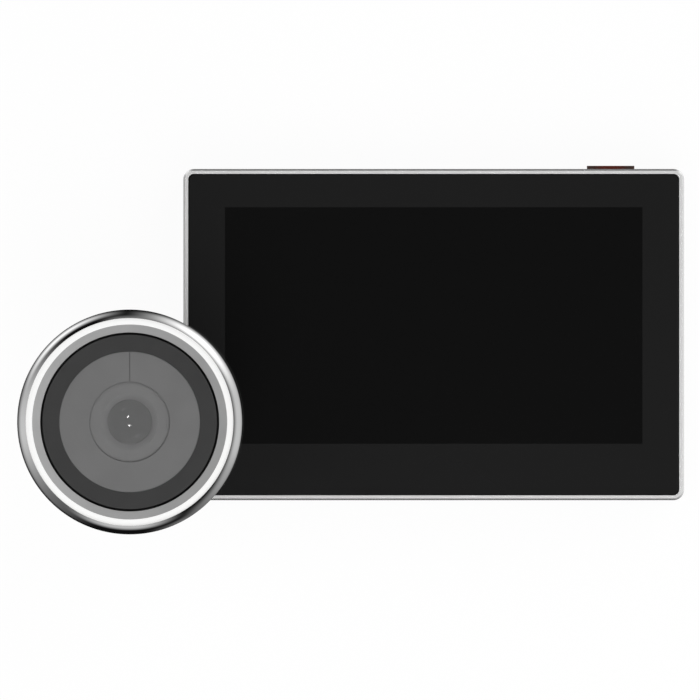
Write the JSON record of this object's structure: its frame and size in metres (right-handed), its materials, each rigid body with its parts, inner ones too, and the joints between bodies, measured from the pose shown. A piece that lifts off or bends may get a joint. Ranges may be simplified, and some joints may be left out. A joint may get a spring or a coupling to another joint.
{
  "type": "peephole door camera",
  "caption": "Door viewer with a flat screen unit on a hook-in door bracket and a round bell camera on a threaded peephole barrel with a clamp nut.",
  "frame": {"origin": "under the middle of the layout's box, on the surface that both units rest on", "axes": "+X to the right across the screen, +Y up the screen, +Z out of the screen and the camera's face"},
  "size_m": [0.151, 0.0836, 0.055],
  "materials": {
    "frame_metal": "satin anodised with a bright bevel",
    "cover_plastic": "fine matte grain",
    "front_glass": "gloss black printed glass",
    "black_foam": "matte foam and adhesive",
    "panel": "dark display panel",
    "flex_film": "amber film",
    "carrier_plastic": "moulded",
    "screw_steel": "zinc plated",
    "bracket_steel": "powder coated steel",
    "circuit_board": "solder mask",
    "chip_black": "moulded package",
    "socket_ivory": "moulded connector",
    "port_steel": "stamped shell",
    "battery_foil": "pouch foil",
    "tape": "adhesive tape",
    "red_lead": "wire insulation",
    "black_lead": "wire insulation",
    "black_plastic": "moulded",
    "white_plastic": "moulded",
    "pad_rubber": "matte",
    "bronze_button": "dark bronze lacquer",
    "chrome": "mirror polished",
    "opal_light": "opal light guide",
    "satin_metal": "satin turned",
    "bell_black": "satin",
    "surround_grey": "satin",
    "window_clear": "clear smoked",
    "lens_glass": "coated",
    "sensor": "cover glass",
    "led": "clear",
    "barrel_metal": "machined",
    "nut_metal": "nickel plated",
    "washer_nylon": "nylon",
    "gasket_rubber": "matte",
    "spring_steel": "drawn wire"
  },
  "bodies": {
    "door_bracket": {"bracket_plate": "bracket_steel"},
    "monitor": {"rear_cover": "cover_plastic", "front_frame": "frame_metal", "cover_glass": "front_glass", "glass_adhesive": "black_foam", "lcd_module": "panel", "lcd_gasket": "black_foam", "lcd_flex": "flex_film", "lcd_carrier": "carrier_plastic", "carrier_screws": "screw_steel", "cover_screws": "screw_steel", "rear_pads": "pad_rubber", "main_board": "circuit_board", "board_screws": "screw_steel", "board_chips": "chip_black", "board_sockets": "socket_ivory", "ribbon_socket": "socket_ivory", "usb_port": "port_steel", "card_slot": "port_steel", "battery_cell": "battery_foil", "battery_tape": "tape", "battery_leads": "red_lead", "speaker": "black_plastic", "speaker_leads": "black_lead", "view_switch": "black_plastic"},
    "view_button": {"view_button": "bronze_button", "view_plunger": "white_plastic"},
    "camera_unit": {"chrome_bezel": "chrome", "light_ring": "opal_light", "inner_bezel": "satin_metal", "bell_switches": "black_plastic", "lens_surround": "surround_grey", "lens_window": "window_clear", "lens_element": "lens_glass", "rear_lens": "lens_glass", "lens_barrel": "black_plastic", "lens_holder": "black_plastic", "image_sensor": "sensor", "camera_board": "circuit_board", "ring_leds": "led", "camera_chip": "chip_black", "camera_socket": "socket_ivory", "head_housing": "cover_plastic", "housing_seal": "gasket_rubber", "head_screws": "screw_steel", "barrel": "barrel_metal", "barrel_screws": "screw_steel", "extension_tube": "barrel_metal", "door_gasket": "gasket_rubber"},
    "bell_button": {"bell_ring": "bell_black", "bell_plungers": "white_plastic", "bell_springs": "spring_steel"},
    "clamp_washer": {"clamp_washer": "washer_nylon"},
    "clamp_nut": {"clamp_nut": "nut_metal"}
  },
  "joints": [
    {"name": "monitor_unhook", "type": "slide", "parent": "door_bracket", "child": "monitor", "axis": [0, 1, 0], "range_m": [0, 0.008]},
    {"name": "view_press", "type": "slide", "parent": "monitor", "child": "view_button", "axis": [0, -1, 0], "range_m": [0, 0.0005], "stiffness_N_per_m": 2000, "springref_m": -0.0005},
    {"name": "camera_lift", "type": "slide", "parent": "door_bracket", "child": "camera_unit", "axis": [0, 0, 1], "range_m": [0, 0.045]},
    {"name": "bell_press", "type": "slide", "parent": "camera_unit", "child": "bell_button", "axis": [0, 0, -1], "range_m": [0, 0.0006], "stiffness_N_per_m": 1500, "springref_m": -0.0008, "deforming": ["bell_springs"]},
    {"name": "washer_slide", "type": "slide", "parent": "camera_unit", "child": "clamp_washer", "axis": [0, 0, -1], "range_m": [0, 0.0281]},
    {"name": "nut_turn", "type": "hinge", "parent": "clamp_washer", "child": "clamp_nut", "pos_m": [-0.05019, -0.01644, 0.0356], "axis": [0, 0, -1], "range_deg": [0, 10080]}
  ],
  "couplings": [
    {"joint": "washer_slide", "follows": "nut_turn", "m_per_rad": 0.00015915}
  ]
}
